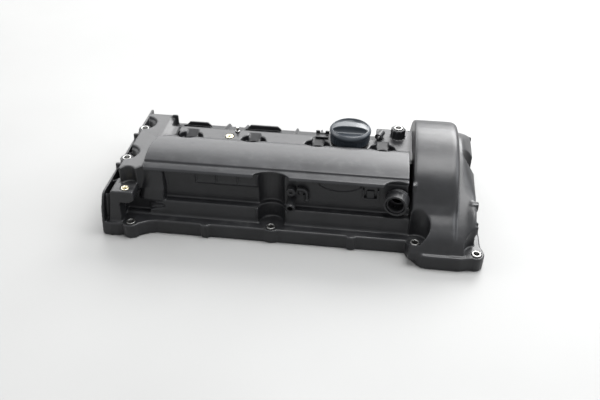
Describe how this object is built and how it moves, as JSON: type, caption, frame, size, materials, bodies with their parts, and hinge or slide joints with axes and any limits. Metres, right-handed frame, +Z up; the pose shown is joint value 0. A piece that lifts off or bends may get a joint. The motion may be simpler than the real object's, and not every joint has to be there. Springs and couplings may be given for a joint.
{
  "type": "cylinder head cover",
  "caption": "Black moulded cylinder head cover with oil separator lid, coil wells, timing chain hump, twist-off oil filler cap and breather fittings.",
  "frame": {"origin": "middle of the footprint, on the gasket face", "axes": "+X along the engine towards the chain end, +Y away from the separator lid's lip, +Z up out of the gasket face"},
  "size_m": [0.459, 0.232, 0.11],
  "materials": {
    "cover_plastic": "satin moulded, glass-filled",
    "lid_plastic": "satin moulded, glass-filled",
    "cap_plastic": "fine satin",
    "fitting_plastic": "satin moulded",
    "seal_rubber": "matt",
    "sleeve_steel": "machined, zinc plated",
    "spring_steel": "drawn wire",
    "insert_brass": "machined"
  },
  "bodies": {
    "cover": {"cover_body": "cover_plastic", "separator_lid": "lid_plastic", "separator_baffle": "fitting_plastic", "perimeter_gasket": "seal_rubber", "coil_well_seal_1": "seal_rubber", "coil_well_seal_2": "seal_rubber", "coil_well_seal_3": "seal_rubber", "coil_well_seal_4": "seal_rubber", "breather_port": "fitting_plastic", "breather_port_seal": "seal_rubber", "vacuum_nozzle": "fitting_plastic", "vent_valve": "fitting_plastic", "hose_clip": "fitting_plastic", "lip_clip": "fitting_plastic", "pcv_housing": "fitting_plastic", "pcv_cap": "fitting_plastic", "pcv_diaphragm": "seal_rubber", "pcv_spring": "spring_steel", "front_sleeve_1": "sleeve_steel", "front_sleeve_2": "sleeve_steel", "front_sleeve_3": "sleeve_steel", "front_sleeve_4": "sleeve_steel", "left_sleeve_1": "sleeve_steel", "left_sleeve_2": "sleeve_steel", "rear_sleeve_1": "sleeve_steel", "rear_sleeve_2": "sleeve_steel", "rear_sleeve_3": "sleeve_steel", "rear_sleeve_4": "sleeve_steel", "rear_sleeve_5": "sleeve_steel", "right_sleeve": "sleeve_steel", "deck_sleeve": "sleeve_steel", "tower_insert": "insert_brass", "deck_insert": "insert_brass", "rear_bracket_1": "fitting_plastic", "rear_bracket_2": "fitting_plastic", "rear_bracket_3": "fitting_plastic", "locating_pin": "sleeve_steel", "deck_pipe": "fitting_plastic"},
    "cap_seal": {"filler_cap_seal": "seal_rubber"},
    "cap": {"filler_cap": "cap_plastic"},
    "pcv_valve": {"pcv_valve_plate": "sleeve_steel"}
  },
  "joints": [
    {"name": "cap_lift", "type": "slide", "parent": "cover", "child": "cap_seal", "axis": [0, 0, 1], "range_m": [0, 0.035]},
    {"name": "cap_turn", "type": "hinge", "parent": "cap_seal", "child": "cap", "pos_m": [0.063, 0.019, 0.09], "axis": [0, 0, 1], "range_deg": [0, 90]},
    {"name": "pcv_travel", "type": "slide", "parent": "cover", "child": "pcv_valve", "axis": [0, 0, 1], "range_m": [-0.003, 0], "stiffness_N_per_m": 300, "springref_m": 0.002, "deforming": ["pcv_spring", "pcv_diaphragm"]}
  ]
}
